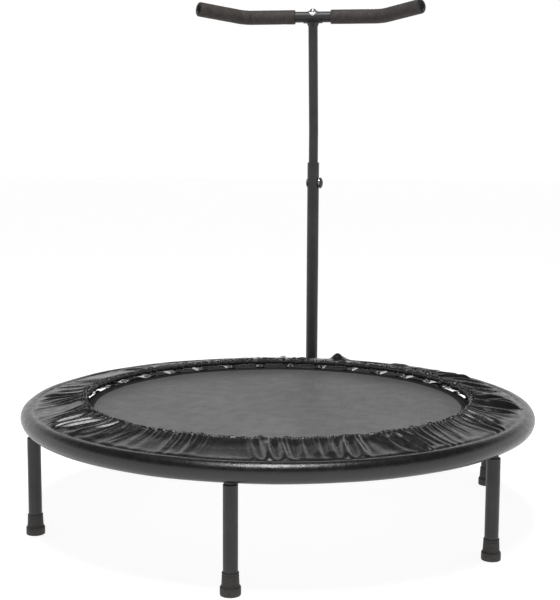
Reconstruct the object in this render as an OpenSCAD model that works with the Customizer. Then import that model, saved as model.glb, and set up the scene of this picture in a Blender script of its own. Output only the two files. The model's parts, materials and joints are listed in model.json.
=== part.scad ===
// Mini trampoline with a height-adjustable T handle.
// Origin: on the floor, under the middle of the whole outline. +Z up, post on +Y, front leg on -Y.

/* [Ring] */
// Overall diameter over the padded rim
overall_d = 1016; // [950:1:1060]
// Height of the ring tube's centre above the floor
ring_z = 206; // [196:1:216]
// Outer diameter of the ring tube
ring_tube_d = 28; // [27:0.5:29]
// Wall thickness of the ring tube
ring_wall = 1.5; // [1.2:0.1:2]
// Number of springs round the ring
spring_n = 36; // [30:6:36]

/* [Legs and feet] */
// Outer diameter of a leg tube
leg_d = 25; // [24:0.5:26]
// Wall thickness of a leg tube
leg_wall = 1.5; // [1.2:0.1:2]
// Height of a rubber foot
foot_h = 39; // [36:1:44]
// Diameter of a rubber foot's flange
foot_d = 35; // [33:0.5:37]

/* [Mat] */
// Outer diameter of the hemmed mat
mat_d = 772; // [768:1:776]
// Height of the mat's cloth over the ring tube's centre
mat_rise = 11; // [10:0.5:12]
// Thickness of the mat's cloth
mat_t = 1.2; // [1:0.1:1.6]
// Width of the webbing hem
hem_w = 20.5; // [16:0.5:24]

/* [Skirt] */
// Thickness of the coated cloth
skirt_t = 1.2; // [1:0.1:1.4]
// Thickness of the foam on the ring tube
foam_t = 3.3; // [3:0.1:3.6]
// Radius of the skirt's inner hem
skirt_hem_r = 391; // [390:1:394]
// Height of the skirt's inner hem over the ring tube's centre
skirt_hem_rise = 30; // [28:1:32]

/* [Post] */
// Outer diameter of the lower post
post_d = 28; // [28:0.5:29]
// Outer diameter of the upper post
upper_d = 22; // [21:0.5:22.5]
// Wall thickness of both post tubes
post_wall = 1.5; // [1.4:0.1:1.6]
// Height of the top of the lower post
post_top_z = 695; // [690:1:720]
// Height of the lock bolt
lock_z = 646; // [640:1:650]
// Forward lean of the upper post above its bend
lean = 6.5; // [4:0.5:8]
// Height of the handlebar's centre at rest
bar_z = 1034; // [1000:1:1060]
// How far the handle rises from rest
rise = 120; // [80:5:120]
// How far the handle drops from rest
drop = 40; // [20:5:40]

/* [Handlebar] */
// Outer diameter of the handlebar tube
bar_d = 25; // [24:0.5:26]
// Outer diameter of a foam grip
grip_d = 33; // [31:0.5:35]
// From the middle to where the end's line meets the bar's line
bar_corner_x = 162; // [150:1:170]
// Length of a bent end past that corner
bar_end_len = 125; // [110:1:140]
// Bend of each end towards the user
bar_bend = 42; // [30:1:50]
// Upward tilt of the plane that the ends bend in
bar_tilt = 8; // [0:1:20]
// From the middle to a grip's inner end
grip_x = 42; // [36:1:50]

/* [Hidden] */
$fn = 64;
gap = 0.1;
big = 2000;
// balls at the upper post's two mitres are this much wider than the tube
seam = 0.04;

ring_r = overall_d / 2 - ring_tube_d / 2 - foam_t - skirt_t;
ring_in = ring_tube_d / 2 - ring_wall;
skirt_mid = ring_tube_d / 2 + foam_t + skirt_t / 2;
foam_r = ring_tube_d / 2 + foam_t;
skirt_r = foam_r + skirt_t;

// clamps that hold the post to the rear leg
clamp_wall = 4;
clamp_h = 24;
clamp_split = 0.5;
clamp_pad_x = 11.5;
clamp_z = [50, 140];
clamp_bolt_d = 6;
post_gap = 6;
post_r = overall_d / 2 + post_gap + post_d / 2;
ring_y = -(post_r + post_d / 2 + clamp_wall - overall_d / 2) / 2;
post_y = ring_y + post_r;
leg_to_post = post_r - ring_r;
waist_y = (leg_d / 2 + leg_to_post - post_d / 2) / 2;

// studs, inserts, feet
stud_d = 10;
stud_len = 24;
boss_d = 18;
leg_top_z = ring_z - skirt_r - 1.5;
insert_flange = 3;
insert_len = 18;
leg_bottom_z = 8;
washer_z = 6;
leg_names = ["front", "front_right", "rear_right", "rear", "rear_left", "front_left"];

// mat, hem, V rings and springs
mat_r = mat_d / 2;
mat_z = ring_z + mat_rise;
web_t = 1.2;
tab_r = mat_r + 4.5;
tab_len = 18;
tab_strap = 1.6;
vring_wire = 3;
vring_half = 13.5;
vring_tip_r = tab_r + 17.5;
spring_wire = 2;
spring_eye_r = vring_tip_r - 1.1;
eye_ring_r = 3.9;
coil_d = 13;
coil_r0 = spring_eye_r + 7;
coil_r1 = ring_r - ring_tube_d / 2 - 13;
hook_r = ring_r - ring_tube_d / 2 + 4.5;
hook_rise = 5;
hook_drop = 5;
hook_hole_d = 6;

// skirt section
skirt_out_from = -136;
skirt_out_to = 125;
foam_from = -44;
foam_to = 122;
hem_bead = 3.2;
hem_elastic_r = 1.5;
rim_bead = 2.6;
rim_elastic_r = 1.4;
over_springs_r = ring_r - 24;
over_springs_z = mat_z + 8.4;
middle_r = 438;
middle_z = mat_z + 11.2;
hem_at = [skirt_hem_r, ring_z + skirt_hem_rise];
function on_rim(r, a) = [ring_r + r * cos(a), ring_z + r * sin(a)];
rim_bead_at = on_rim(skirt_mid, skirt_out_from);

// post and handle
post_bottom_z = 29;
post_in = post_d - 2 * post_wall;
upper_in = upper_d - 2 * post_wall;
bush_len = 38;
bush_flange = 2;
slide_gap = 0.05;
upper_bottom_z = 500;
guide_len = 12;
guide_spigot = 15;
bend_r = 120;
bend_z = 765;
lock_d = 8;
slot_w = 8.6;
straight_from_z = bend_z + bend_r * sin(lean);
upper_len = (bar_z - straight_from_z) / cos(lean);
bar_y = post_y - bend_r * (1 - cos(lean)) - upper_len * sin(lean);

saddle_t = 2;
saddle_len = 44;
saddle_r = bar_d / 2 + saddle_t;
flare_r = 15.5;
flare_h = 8;
bar_wall = 1.5;
bar_in = bar_d - 2 * bar_wall;
bar_bend_r = 45;
bar_tangent = bar_bend_r * tan(bar_bend / 2);
bar_straight = bar_corner_x - bar_tangent;
bend_steps = 8;
bar_sides = 32;
bar_bolt_d = 8;
bolt_hole_d = 8.5;
nut_top = -22;
nut_len = 14;
arc_washer_t = 2;
arc_washer_d = 24;
plug_recess = 4;
plug_len = 8;

// lock knob stack, outwards from the post's axis
saddle_x = 14.6;
lock_washer_t = 1.2;
washer_x = saddle_x + gap;
knob_x = washer_x + lock_washer_t + gap;
knob_d = 26.6;
knob_h = 7.6;
insert_d = 11;
insert_h = 5.5;
lock_end_x = knob_x + 4.9;

leg_ids = [for (n = leg_names) str("leg_", n)];
foot_ids = [for (n = leg_names) str("foot_", n)];

frame_col = [0.09, 0.09, 0.1];
rubber_col = [0.13, 0.12, 0.12];
steel_col = [0.7, 0.71, 0.73];
nylon_col = [0.06, 0.06, 0.06];
elastic_col = [0.2, 0.2, 0.2];
grip_col = [0.17, 0.155, 0.15];
skirt_col = [0.04, 0.04, 0.045];

// ---- placing ----

// puts children at radius r and height z, x pointing outwards, at angle a round the ring
module on_ring(a, r = 0, z = 0) {
    translate([0, ring_y, z]) rotate([0, 0, a]) translate([r, 0, 0]) children();
}

module at_legs() {
    for (k = [0:5]) at_leg(k) children();
}

module at_leg(k) {
    on_ring(60 * k - 90, ring_r) children();
}

function spring_angle(i) = 360 / spring_n * (i + 0.5);

module at_springs(z = 0) {
    for (i = [0:spring_n - 1]) on_ring(spring_angle(i), 0, z) children();
}

// the post's axis, and the handlebar's middle with z along the leaning post
module at_post(z = 0) {
    translate([0, post_y, z]) children();
}

module at_joint() {
    translate([0, bar_y, bar_z]) rotate([lean, 0, 0]) children();
}

module along_x() {
    rotate([0, 90, 0]) children();
}

module tube(d, wall, h) {
    difference() {
        cylinder(d = d, h = h);
        translate([0, 0, -1]) cylinder(d = d - 2 * wall, h = h + 2);
    }
}

module washer(d, hole, h) {
    difference() {
        cylinder(d = d, h = h);
        translate([0, 0, -1]) cylinder(d = hole, h = h + 2);
    }
}

// ---- ring, studs and legs ----

module ring_torus(r) {
    translate([0, ring_y, ring_z]) rotate_extrude($fn = 180) translate([ring_r, 0]) circle(r = r);
}

module frame_ring() {
    color(frame_col) difference() {
        ring_torus(ring_tube_d / 2);
        ring_torus(ring_in);
        at_springs(ring_z + hook_rise) translate([ring_r - ring_tube_d / 2 - 2, 0, 0])
            along_x() cylinder(d = hook_hole_d, h = 9, $fn = 24);
    }
}

// a boss welded under the ring tube, with the leg's threaded stud
module leg_studs() {
    color(frame_col) difference() {
        at_legs() union() {
            translate([0, 0, leg_top_z]) cylinder(d = boss_d, h = ring_z - leg_top_z);
            translate([0, 0, leg_top_z - stud_len]) cylinder(d = stud_d, h = stud_len + 1);
        }
        ring_torus(ring_tube_d / 2);
    }
}

module leg(k) {
    h = leg_top_z - insert_flange - leg_bottom_z;
    color(frame_col) at_leg(k) translate([0, 0, leg_bottom_z]) tube(leg_d, leg_wall, h);
}

// welded into a leg's top: a flange with a rounded rim and a threaded bore
module leg_insert() {
    in_r = leg_d / 2 - leg_wall;
    round_r = 1.2;
    rotate_extrude() difference() {
        union() {
            translate([0, leg_top_z - insert_flange]) square([leg_d / 2, insert_flange - round_r]);
            translate([0, leg_top_z - round_r]) square([leg_d / 2 - round_r, round_r]);
            translate([leg_d / 2 - round_r, leg_top_z - round_r]) circle(r = round_r);
            translate([0, leg_top_z - insert_flange - insert_len]) square([in_r, insert_len]);
        }
        translate([0, leg_top_z - 30]) square([stud_d / 2, 60]);
    }
}

module leg_inserts() {
    color(frame_col) at_legs() leg_insert();
}

module foot_washers() {
    color(steel_col) at_legs() translate([0, 0, washer_z])
        cylinder(d = leg_d, h = leg_bottom_z - washer_z);
}

module foot(k) {
    r = foot_d / 2;
    bore = leg_d / 2;
    color(rubber_col) at_leg(k) rotate_extrude() polygon([
        [0, 1.4], [9.6, 1.4], [11, 0], [r - 1.4, 0], [r - 0.4, 0.4], [r, 1.4],
        [r, 13], [r - 0.5, 14.4], [r - 2, 16.6], [r - 2.6, 18.6],
        [bore + 1.7, foot_h - 5], [bore + 1.2, foot_h - 4.2], [bore + 1.2, foot_h - 3.6],
        [bore + 1.7, foot_h - 2.8], [bore + 1.7, foot_h - 0.8], [bore + 1.1, foot_h],
        [bore, foot_h], [bore, washer_z], [0, washer_z]
    ]);
}

// ---- mat and springs ----

module jump_mat() {
    color([0.3, 0.31, 0.32]) on_ring(0, 0, mat_z - mat_t / 2) cylinder(r = mat_r, h = mat_t, $fn = 180);
}

// webbing folded round the mat's edge
module mat_hem() {
    color([0.05, 0.05, 0.05]) on_ring(0, 0, mat_z) rotate_extrude($fn = 180) difference() {
        translate([mat_r - hem_w, -mat_t / 2 - web_t]) square([hem_w + web_t, mat_t + 2 * web_t]);
        translate([mat_r - hem_w - 1, -mat_t / 2]) square([hem_w + 1, mat_t]);
    }
}

// strap loops sewn under the hem, round the V rings' straight sides
module ring_tab() {
    strap_z = -mat_t / 2 - web_t - tab_strap;
    loop_r = vring_wire / 2 + tab_strap;
    difference() {
        union() {
            translate([mat_r - hem_w, -tab_len / 2, strap_z])
                cube([tab_r - mat_r + hem_w - vring_wire / 2, tab_len, tab_strap]);
            translate([tab_r, tab_len / 2, 0]) rotate([90, 0, 0]) cylinder(r = loop_r, h = tab_len, $fn = 24);
        }
        translate([tab_r, tab_len, 0]) rotate([90, 0, 0])
            cylinder(d = vring_wire + 0.2, h = 2 * tab_len, $fn = 24);
    }
}

module ring_tabs() {
    color([0.07, 0.07, 0.07]) at_springs(mat_z) ring_tab();
}

module rod(a, b, d) {
    v = b - a;
    len = norm(v);
    translate(a) rotate([0, acos(v[2] / len), atan2(v[1], v[0])]) cylinder(d = d, h = len, $fn = 16);
}

// three straight wires that cross a little at their corners; slightly unequal, so that they join cleanly
module v_ring() {
    corner = [tab_r, vring_half + 2, 0];
    tip = [vring_tip_r, 0, 0];
    past = (tip - corner) / norm(tip - corner) * vring_wire * 0.4;
    rod([tab_r, -vring_half - 3, 0], [tab_r, vring_half + 3, 0], vring_wire);
    for (s = [0, 1]) mirror([0, s, 0]) rod(corner - past, tip + past, vring_wire - 0.1 - 0.1 * s);
}

module v_rings() {
    color(steel_col) at_springs(mat_z) v_ring();
}

// a close-wound spring: an eye round the V ring, the coil and a hook in the ring tube's hole
module spring() {
    hook = [hook_r, 0, hook_rise - mat_rise];
    coil_len = coil_r1 - coil_r0;
    translate([spring_eye_r, 0, 0]) rotate([90, 0, 0]) rotate_extrude($fn = 24)
        translate([eye_ring_r, 0]) circle(d = spring_wire, $fn = 16);
    rod([spring_eye_r + eye_ring_r, 0, 0], [coil_r0 + 1, 0, 0], spring_wire);
    translate([coil_r0, 0, 0]) along_x() difference() {
        cylinder(d = coil_d, h = coil_len);
        translate([0, 0, spring_wire])
            cylinder(d = coil_d - 2 * spring_wire, h = coil_len - 2 * spring_wire);
    }
    rod([coil_r1 - 1, 0, 0], hook, spring_wire);
    rod(hook + [0, 0, 1.2], hook - [0, 0, hook_drop], spring_wire + 0.2);
}

module springs() {
    color(steel_col) at_springs(mat_z) spring();
}

// ---- foam and skirt ----

// a ring sector in the rim's section, from angle a to angle b, 0 being outwards
module rim_sector(r0, r1, a, b) {
    steps = 8;
    reach = 3 * r1;
    fan = [for (i = [0:steps]) let(t = a + (b - a) * i / steps) [reach * cos(t), reach * sin(t)]];
    translate([ring_r, ring_z]) intersection() {
        difference() {
            circle(r = r1);
            circle(r = r0);
        }
        polygon(concat([[0, 0]], fan));
    }
}

module leg_cutouts() {
    at_legs() translate([0, 0, leg_top_z - 5]) cylinder(d = boss_d + 2, h = 20);
}

module rim_foam() {
    color([0.15, 0.15, 0.16]) round_ring() rim_sector(ring_tube_d / 2, foam_r, foam_from, foam_to);
}

// turns a section round the ring's axis
module round_ring() {
    translate([0, ring_y, 0]) rotate_extrude($fn = 180) children();
}

module bead(at, r) {
    round_ring() translate(at) circle(r = r, $fn = 24);
}

// the cloth round the rim, with its lower casing
module rim_cover() {
    color(skirt_col) difference() {
        union() {
            round_ring() rim_sector(foam_r, skirt_r, skirt_out_from, skirt_out_to);
            bead(rim_bead_at, rim_bead);
        }
        bead(rim_bead_at, rim_elastic_r);
        leg_cutouts();
    }
}

// the gathered cloth over the springs, sewn to the rim's cloth, with its inner casing
module spring_cover() {
    color(skirt_col) difference() {
        union() {
            round_ring() polygon([
                on_rim(skirt_r, skirt_out_to), [over_springs_r, over_springs_z + skirt_t / 2],
                [middle_r, middle_z + skirt_t / 2], hem_at + [0, skirt_t / 2],
                hem_at - [0, skirt_t / 2], [middle_r, middle_z - skirt_t / 2],
                [over_springs_r, over_springs_z - skirt_t / 2], on_rim(foam_r, skirt_out_to)
            ]);
            bead(hem_at, hem_bead);
        }
        bead(hem_at, hem_elastic_r);
    }
}

module hem_elastic() {
    color(elastic_col) bead(hem_at, hem_elastic_r);
}

module rim_elastic() {
    color(elastic_col) bead(rim_bead_at, rim_elastic_r);
}

// ---- lower post and its clamps ----

module lower_post() {
    h = post_top_z - bush_flange - post_bottom_z;
    color(frame_col) difference() {
        at_post(post_bottom_z) tube(post_d, post_wall, h);
        at_post(lock_z) along_x() translate([0, 0, -post_d]) cylinder(d = lock_d + 0.4, h = 2 * post_d);
    }
}

module post_cap() {
    color(nylon_col) at_post() rotate_extrude() polygon([
        [0, post_bottom_z - 3], [post_d / 2 - 1, post_bottom_z - 3], [post_d / 2, post_bottom_z - 2],
        [post_d / 2, post_bottom_z], [post_in / 2, post_bottom_z], [post_in / 2, post_bottom_z + 14],
        [post_in / 2 - 2, post_bottom_z + 14], [post_in / 2 - 2, post_bottom_z], [0, post_bottom_z]
    ]);
}

// a slit liner that the upper post slides in
module post_bush() {
    top = post_top_z;
    seat = post_top_z - bush_flange;
    bore = upper_d / 2 + slide_gap;
    color(nylon_col) difference() {
        at_post() rotate_extrude() polygon([
            [bore, seat - bush_len], [post_in / 2, seat - bush_len], [post_in / 2, seat],
            [post_d / 2, seat], [post_d / 2, top - 0.8], [post_d / 2 - 0.8, top], [bore, top]
        ]);
        at_post(seat - bush_len - 1) translate([-1, -post_d, 0]) cube([2, post_d, bush_len + bush_flange + 2]);
    }
}

// half of a moulded clamp round the rear leg and the post; side is 1 for +X, -1 for -X
module clamp_half(z, side) {
    outer_leg = leg_d / 2 + clamp_wall;
    outer_post = post_d / 2 + clamp_wall;
    color(nylon_col) at_leg(3) rotate([0, 0, -90]) translate([0, 0, z]) difference() {
        linear_extrude(clamp_h) difference() {
            union() {
                circle(r = outer_leg);
                translate([0, leg_to_post]) circle(r = outer_post);
                translate([-clamp_pad_x, 0]) square([2 * clamp_pad_x, leg_to_post]);
            }
            circle(d = leg_d);
            translate([0, leg_to_post]) circle(d = post_d);
            translate([side > 0 ? clamp_split - big : -clamp_split, -big / 2]) square(big);
        }
        translate([-50, waist_y, clamp_h / 2]) along_x() cylinder(d = clamp_bolt_d + 0.4, h = 100);
    }
}

module at_clamp_bolts() {
    for (z = clamp_z) at_leg(3) rotate([0, 0, -90])
        translate([0, waist_y, z + clamp_h / 2]) along_x() children();
}

module clamp_bolts() {
    washer_t = 1.2;
    color(steel_col) at_clamp_bolts() union() {
        translate([0, 0, -clamp_pad_x - washer_t - 4]) cylinder(d = 11.5, h = 4, $fn = 6);
        translate([0, 0, -clamp_pad_x - washer_t]) cylinder(d = clamp_bolt_d, h = 2 * clamp_pad_x + 9);
    }
}

module clamp_washers() {
    washer_t = 1.2;
    color(steel_col) at_clamp_bolts() for (z = [-clamp_pad_x - washer_t, clamp_pad_x])
        translate([0, 0, z]) washer(12, clamp_bolt_d + 0.4, washer_t);
}

module clamp_nuts() {
    color(steel_col) at_clamp_bolts() translate([0, 0, clamp_pad_x + 1.2]) difference() {
        cylinder(d = 11.5, h = 5, $fn = 6);
        translate([0, 0, -1]) cylinder(d = clamp_bolt_d, h = 7);
    }
}

// ---- height lock ----

// a round-headed bolt through both posts
module lock_bolt() {
    head_r = 9;
    head_h = 2.3;
    color(frame_col) at_post(lock_z) along_x() union() {
        translate([0, 0, -saddle_x]) cylinder(d = lock_d, h = saddle_x + lock_end_x);
        translate([0, 0, -saddle_x]) mirror([0, 0, 1]) rotate_extrude() polygon([
            [0, 0], [head_r, 0], [head_r - 0.3, 0.7], [head_r - 2, 1.5], [head_r - 5, 2.1], [0, head_h]
        ]);
    }
}

// saddle washers that fit the round post on one side and are flat on the other
module lock_saddles() {
    color(nylon_col) at_post(lock_z) for (s = [0, 1]) mirror([s, 0, 0]) difference() {
        along_x() translate([0, 0, 9]) washer(20, lock_d + 0.4, saddle_x - 9);
        translate([0, 0, -20]) cylinder(d = post_d, h = 40);
    }
}

module knob_washer() {
    color(steel_col) at_post(lock_z) along_x() translate([0, 0, washer_x])
        washer(25, lock_d + 0.2, lock_washer_t);
}

module lock_knob() {
    r = knob_d / 2;
    flutes = 16;
    color(nylon_col) at_post(lock_z) along_x() translate([0, 0, knob_x]) difference() {
        rotate_extrude() polygon([
            [insert_d / 2, 0], [r - 0.6, 0], [r, 0.6], [r - 0.3, 2.2], [r - 1.6, 3.9], [r - 4, 5.6],
            [r - 7.5, 6.9], [r - 11, 7.5], [0, knob_h], [0, insert_h], [insert_d / 2, insert_h]
        ]);
        for (i = [0:flutes - 1]) rotate([0, 0, 360 / flutes * i]) translate([r + 0.9, 0, -1])
            cylinder(d = 3, h = 12, $fn = 16);
    }
}

module knob_insert() {
    color([0.75, 0.6, 0.3]) at_post(lock_z) along_x() translate([0, 0, knob_x])
        washer(insert_d, lock_d + 0.1, insert_h);
}

// ---- upper post ----

module upper_path(d, extra = 0) {
    at_post(upper_bottom_z - extra) cylinder(d = d, h = bend_z - upper_bottom_z + extra);
    at_post(bend_z) sphere(d = d + seam);
    translate([0, post_y - bend_r, bend_z]) rotate([90, 0, 90]) rotate_extrude(angle = lean)
        translate([bend_r, 0]) circle(d = d);
    at_joint() translate([0, 0, -upper_len]) sphere(d = d + seam);
    at_joint() mirror([0, 0, 1]) cylinder(d = d, h = upper_len);
}

// a slot through both walls, with round ends centred at heights h0 and h1
module slot(h0, h1, w) {
    for (h = [h0, h1]) translate([0, 0, h]) along_x() translate([0, 0, -30]) cylinder(d = w, h = 60);
    translate([-30, -w / 2, h0]) cube([60, w, h1 - h0]);
}

module upper_post() {
    color(frame_col) difference() {
        union() {
            upper_path(upper_d);
            at_joint() translate([0, 0, -saddle_r - flare_h])
                cylinder(d1 = upper_d, r2 = flare_r, h = flare_h + 3);
        }
        upper_path(upper_in, 1);
        at_joint() translate([-50, 0, 0]) along_x() cylinder(r = saddle_r, h = 100);
        at_post() slot(lock_z - rise, lock_z + drop, slot_w);
    }
}

// a plug in the upper post's foot that keeps it central in the lower post
module post_guide() {
    color(nylon_col) at_post(upper_bottom_z) union() {
        translate([0, 0, -guide_len]) cylinder(d = post_in - 2 * slide_gap, h = guide_len);
        cylinder(d = upper_in, h = guide_spigot);
    }
}

module bar_saddle() {
    color(frame_col) at_joint() difference() {
        translate([-saddle_len / 2, 0, 0]) along_x() cylinder(r = saddle_r, h = saddle_len);
        translate([-saddle_len, 0, 0]) along_x() cylinder(d = bar_d, h = 2 * saddle_len);
        translate([-saddle_len, -big / 2, -4]) cube([2 * saddle_len, big, big]);
        translate([0, 0, -30]) cylinder(d = bolt_hole_d, h = 30);
    }
}

module post_top_nut() {
    color(steel_col) at_joint() translate([0, 0, nut_top - nut_len]) washer(upper_in, bar_bolt_d, nut_len);
}

// ---- handlebar ----

// Stations along the right half of the bar's line, from x0 outwards: [x, y, heading], with y towards the back.
function bar_stations(x0) = concat(
    [[x0, 0, 0], [bar_straight, 0, 0]],
    [for (i = [1:bend_steps]) let(a = bar_bend * i / bend_steps)
        [bar_straight + bar_bend_r * sin(a), -bar_bend_r * (1 - cos(a)), -a]],
    [[bar_corner_x + bar_end_len * cos(bar_bend), -bar_end_len * sin(bar_bend), -bar_bend]]
);

function reversed(list) = [for (i = [len(list) - 1:-1:0]) list[i]];

function mirrored(stations) = [for (p = reversed(stations)) [-p[0], p[1], -p[2]]];

// a ring of points of radius r round one station
function station_ring(p, r) = [
    for (j = [0:bar_sides - 1]) let(t = 360 * j / bar_sides)
        [p[0] - sin(p[2]) * r * cos(t), p[1] + cos(p[2]) * r * cos(t), r * sin(t)]
];

// a bent tube through the stations, outer radius r1 and inner radius r0
module bent_tube(stations, r1, r0) {
    m = len(stations);
    n = bar_sides;
    points = [for (r = [r1, r0]) for (p = stations) for (q = station_ring(p, r)) q];
    walls = [for (i = [0:m - 2]) for (j = [0:n - 1]) let(k = (j + 1) % n)
        [i * n + j, (i + 1) * n + j, (i + 1) * n + k, i * n + k]];
    bore = [for (w = walls) reversed([for (v = w) v + m * n])];
    first = [for (j = [0:n - 1]) let(k = (j + 1) % n) [j, k, m * n + k, m * n + j]];
    last = [for (f = first) reversed([for (v = f) v + (m - 1) * n])];
    translate([0, bar_y, bar_z]) rotate([-bar_tilt, 0, 0])
        polyhedron(points, concat(walls, bore, first, last), convexity = 6);
}

module handlebar() {
    right = bar_stations(0);
    left = mirrored(right);
    stations = concat([for (i = [0:len(left) - 2]) left[i]], [for (i = [1:len(right) - 1]) right[i]]);
    color(frame_col) difference() {
        bent_tube(stations, bar_d / 2, bar_in / 2);
        at_joint() translate([0, 0, -30]) cylinder(d = bolt_hole_d, h = 60);
    }
}

module grip_left() {
    color(grip_col) bent_tube(mirrored(bar_stations(grip_x)), grip_d / 2, bar_d / 2);
}

module grip_right() {
    color(grip_col) bent_tube(bar_stations(grip_x), grip_d / 2, bar_d / 2);
}

// recessed plugs, which fit inside the flats of the bar's bore
module bar_end_plugs() {
    inner = bar_end_len - plug_recess - plug_len;
    plug_d = bar_in * cos(180 / bar_sides);
    color(nylon_col) for (side = [0, 1]) translate([0, bar_y, bar_z]) mirror([side, 0, 0])
        rotate([-bar_tilt, 0, 0]) translate([bar_corner_x, 0, 0]) rotate([0, 0, -bar_bend])
        along_x() translate([0, 0, inner]) difference() {
            cylinder(d = plug_d, h = plug_len);
            translate([0, 0, plug_len - 2]) cylinder(d = plug_d - 8, h = 3);
        }
}

// the bolt that pulls the bar into its saddle
module bar_bolt() {
    seat = bar_d / 2 + arc_washer_t;
    color(steel_col) at_joint() union() {
        translate([0, 0, nut_top - nut_len]) cylinder(d = bar_bolt_d, h = seat - nut_top + nut_len);
        translate([0, 0, seat]) rotate_extrude() polygon([
            [0, 0], [8, 0], [8, 0.8], [7.2, 2.4], [5.2, 3.8], [2.6, 4.5], [0, 4.7]
        ]);
    }
}

module arc_washer() {
    color(steel_col) at_joint() difference() {
        intersection() {
            translate([-30, 0, 0]) along_x() cylinder(r = bar_d / 2 + arc_washer_t, h = 60);
            cylinder(d = arc_washer_d, h = 40);
        }
        translate([-40, 0, 0]) along_x() cylinder(d = bar_d, h = 80);
        cylinder(d = bolt_hole_d, h = 60);
    }
}

// ---- assembly ----

for (k = [0:5]) {
    leg(k);
    foot(k);
}
frame_ring();
leg_studs();
leg_inserts();
foot_washers();
jump_mat();
mat_hem();
ring_tabs();
v_rings();
springs();
rim_foam();
rim_cover();
spring_cover();
hem_elastic();
rim_elastic();
lower_post();
post_cap();
post_bush();
clamp_half(clamp_z[0], -1);  // lower_clamp_left
clamp_half(clamp_z[0], 1);  // lower_clamp_right
clamp_half(clamp_z[1], -1);  // upper_clamp_left
clamp_half(clamp_z[1], 1);  // upper_clamp_right
clamp_bolts();
clamp_washers();
clamp_nuts();
lock_bolt();
lock_saddles();
knob_washer();
lock_knob();
knob_insert();
upper_post();
post_guide();
bar_saddle();
post_top_nut();
handlebar();
grip_left();
grip_right();
bar_end_plugs();
bar_bolt();
arc_washer();
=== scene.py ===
"""The looks of a mini trampoline: cloth, foam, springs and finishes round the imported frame."""

import json
import math

import bpy
import numpy as np
from mathutils import Matrix, Vector


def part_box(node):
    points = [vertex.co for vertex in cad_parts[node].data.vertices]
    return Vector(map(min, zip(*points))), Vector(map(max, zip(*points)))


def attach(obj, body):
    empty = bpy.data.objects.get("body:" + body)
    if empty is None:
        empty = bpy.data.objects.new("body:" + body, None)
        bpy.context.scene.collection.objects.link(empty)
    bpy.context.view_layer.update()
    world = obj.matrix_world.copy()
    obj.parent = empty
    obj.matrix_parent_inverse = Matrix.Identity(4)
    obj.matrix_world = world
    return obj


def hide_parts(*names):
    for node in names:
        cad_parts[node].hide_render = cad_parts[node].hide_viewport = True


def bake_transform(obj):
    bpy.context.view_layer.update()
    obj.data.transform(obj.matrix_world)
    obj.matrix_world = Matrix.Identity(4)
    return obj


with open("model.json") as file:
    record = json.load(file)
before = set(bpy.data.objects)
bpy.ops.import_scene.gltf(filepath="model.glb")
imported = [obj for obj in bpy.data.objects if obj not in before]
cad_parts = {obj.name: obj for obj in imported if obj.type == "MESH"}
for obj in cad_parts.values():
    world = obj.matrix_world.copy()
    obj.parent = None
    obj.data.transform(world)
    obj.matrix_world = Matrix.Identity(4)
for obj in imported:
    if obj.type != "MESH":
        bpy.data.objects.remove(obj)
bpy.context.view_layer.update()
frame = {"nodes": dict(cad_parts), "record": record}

MM = 0.001
TURN = 2 * math.pi


# ---- places and sizes, from the frame ----


def middle(node):
    low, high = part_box(node)
    return (low + high) / 2


def half_size(node):
    low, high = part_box(node)
    return (high - low) / 2


CENTRE_Y = middle("frame_ring").y
RING_Z = middle("frame_ring").z
TUBE_R = half_size("frame_ring").z
RING_R = half_size("frame_ring").x - TUBE_R

MAT_R = half_size("jump_mat").x
MAT_Z = middle("jump_mat").z
MAT_T = 2 * half_size("jump_mat").z
SPRINGS = 36
LEG_ANGLES = [TURN / 6 * k - TURN / 4 for k in range(6)]
BOSS_R = 9 * MM

FOAM_R = half_size("rim_foam").x - RING_R
COVER_T = 1.0 * MM
COVER_R = half_size("rim_cover").x - RING_R - 0.6 * MM
HEM_CORD_R = half_size("hem_elastic").z
HEM_R = half_size("hem_elastic").x - HEM_CORD_R
HEM_Z = middle("hem_elastic").z
RIM_CORD_R = half_size("rim_elastic").z
RIM_CORD_AT = (half_size("rim_elastic").x - RIM_CORD_R, middle("rim_elastic").z)

BAR_R = 12.5 * MM
BAR_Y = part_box("handlebar")[1].y - BAR_R
BAR_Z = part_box("handlebar")[0].z + BAR_R
BAR_WALL = 1.5 * MM
GRIP_R = BAR_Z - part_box("grip_right")[0].z
GRIP_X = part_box("grip_right")[0].x
BAR_BEND = math.radians(42)
BAR_TILT = math.radians(8)
BAR_BEND_R = 45 * MM
BAR_CORNER_X = 162 * MM
BAR_END = 125 * MM


# ---- mesh making ----


def make_piece(name, points, faces, finish, body, smooth=True):
    mesh = bpy.data.meshes.new(name)
    mesh.from_pydata(np.asarray(points, float).reshape(-1, 3).tolist(), [], faces)
    mesh.validate()
    mesh.polygons.foreach_set("use_smooth", [smooth] * len(mesh.polygons))
    mesh.materials.append(finish)
    piece = bpy.data.objects.new(name, mesh)
    bpy.context.scene.collection.objects.link(piece)
    if body:
        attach(piece, body)
    return piece


def grid_faces(rows, cols, wrap_rows=False, wrap_cols=True, first=0):
    """Quads of a grid whose points run row by row."""
    index = np.arange(rows * cols).reshape(rows, cols) + first
    across = np.roll(index, -1, 1) if wrap_cols else index[:, 1:]
    base = index if wrap_cols else index[:, :-1]
    a, b = base, across
    c, d = np.roll(across, -1, 0), np.roll(base, -1, 0)
    if not wrap_rows:
        a, b, c, d = a[:-1], b[:-1], c[:-1], d[:-1]
    return np.stack([a, b, c, d], -1).reshape(-1, 4).tolist()


def round_section(radius, sides):
    turn = np.arange(sides) * TURN / sides
    return np.stack([radius * np.cos(turn), radius * np.sin(turn)], -1)


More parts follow.
